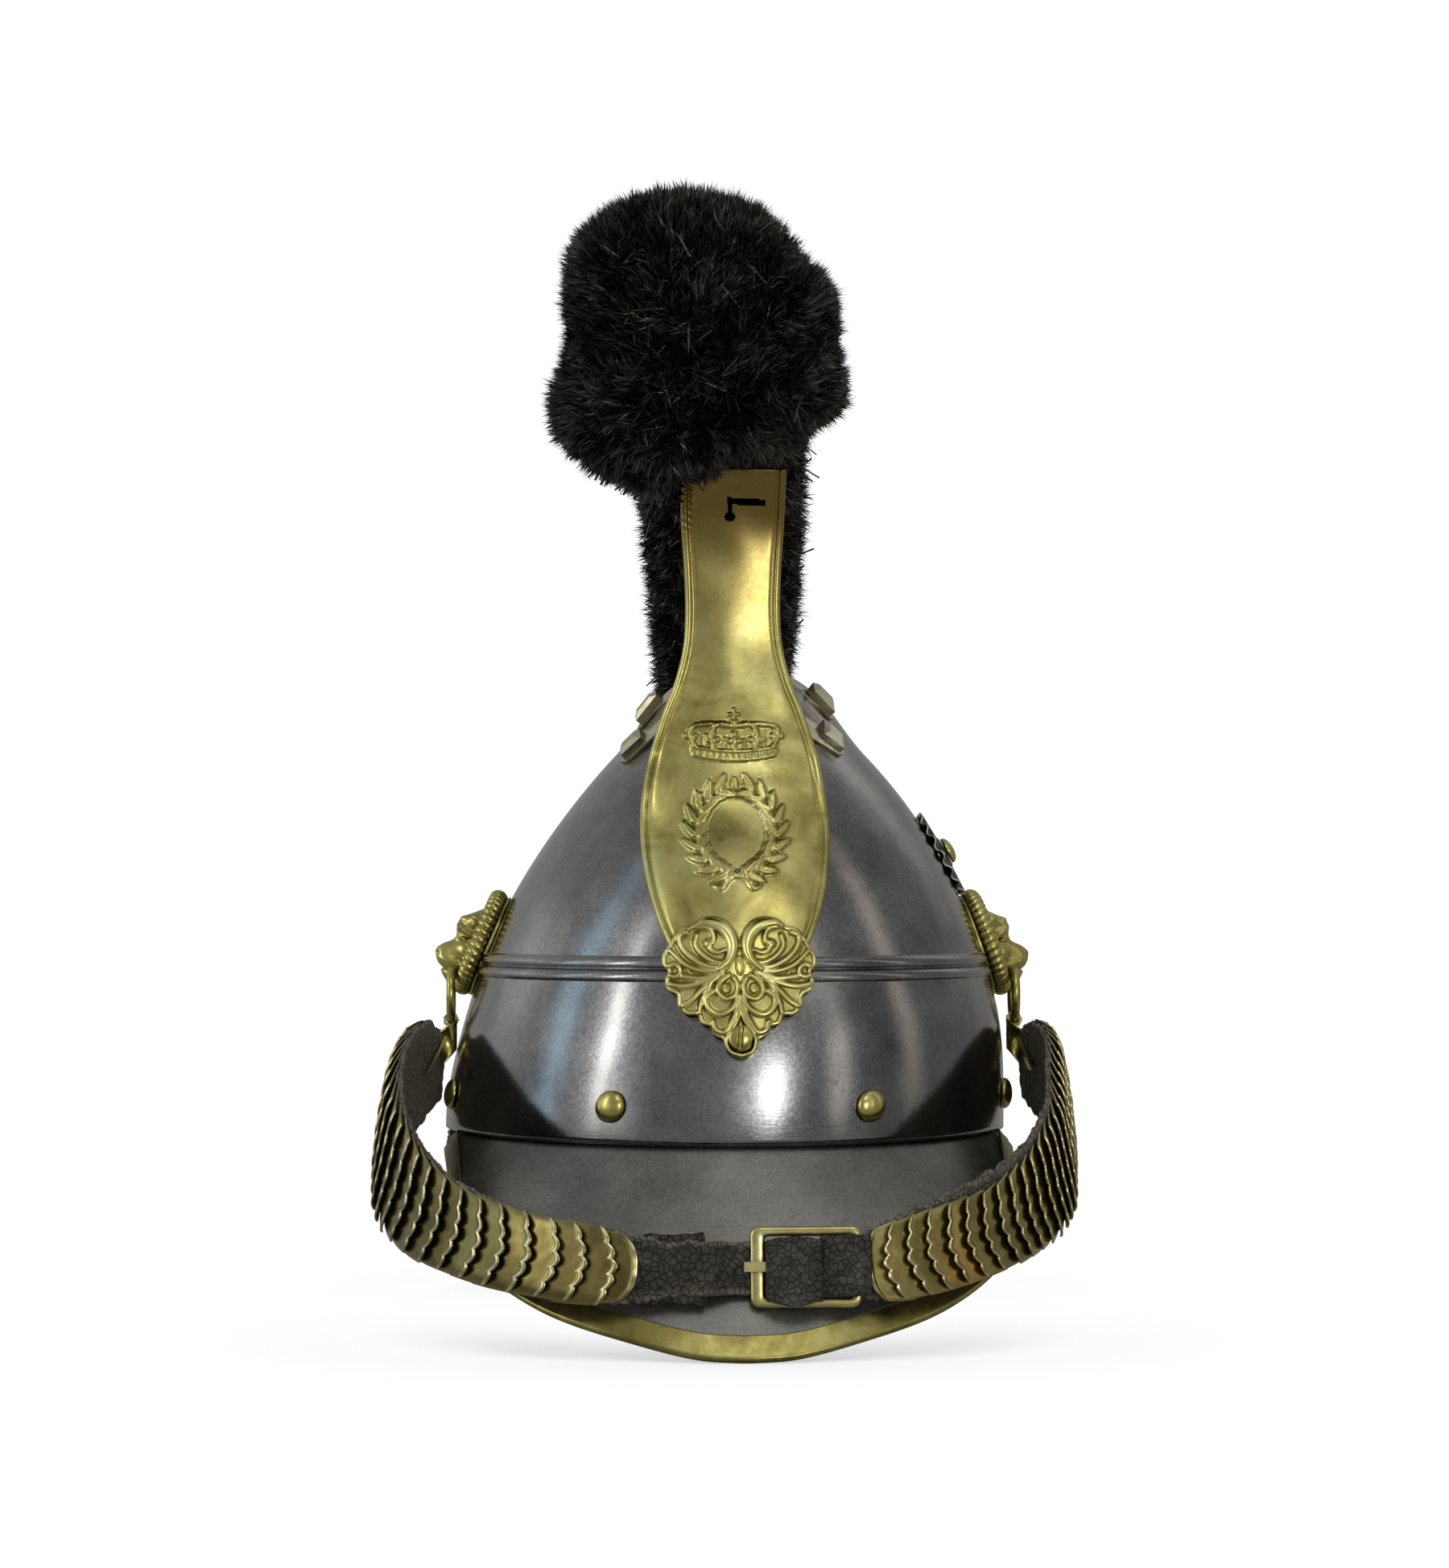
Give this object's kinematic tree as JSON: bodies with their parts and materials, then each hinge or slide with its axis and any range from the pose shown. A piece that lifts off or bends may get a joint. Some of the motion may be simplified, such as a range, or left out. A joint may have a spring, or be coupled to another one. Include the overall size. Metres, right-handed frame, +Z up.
{
  "type": "cavalry helmet",
  "caption": "Polished steel cavalry helmet with peak and neck guard, brass front plate and comb, black fur crest, cast lion heads and a scaled leather chin strap with a buckle.",
  "frame": {"origin": "on the floor, below the middle of the bounding box, with the helmet at rest on its peak's tip and neck guard's edge", "axes": "+Z up along the skull, -Y to the front (the peak and plate), +X to the wearer's left"},
  "size_m": [0.2366, 0.3175, 0.3769],
  "materials": {
    "steel": "dark polished steel, worn",
    "satin_steel": "dull satin grey steel",
    "brass": "aged olive-gold brass",
    "leather": "cracked near-black leather",
    "fur": "short dense black fur"
  },
  "bodies": {
    "root": {"skull": "steel", "peak": "satin_steel", "peak_trim": "brass", "neck_guard": "satin_steel", "neck_guard_trim": "brass", "comb": "brass", "front_plate": "brass", "palmette": "brass", "crest": "fur", "palmette_screw": "brass", "comb_foot_front_right": "brass", "comb_foot_front_left": "brass", "comb_foot_middle_right": "brass", "comb_foot_middle_left": "brass", "stud_1": "brass", "stud_2": "brass", "stud_3": "brass", "stud_4": "brass", "stud_5": "brass", "stud_6": "brass", "stud_7": "brass", "cockade": "steel", "cockade_button": "brass", "lion_right": "brass", "ring_right": "brass", "link_right": "brass", "lion_left": "brass", "ring_left": "brass", "link_left": "brass", "buckle_frame": "brass", "buckle_tongue": "brass", "strap_right": "leather", "strap_left": "leather", "scales_right": "brass", "scales_left": "brass"}
  },
  "joints": []
}
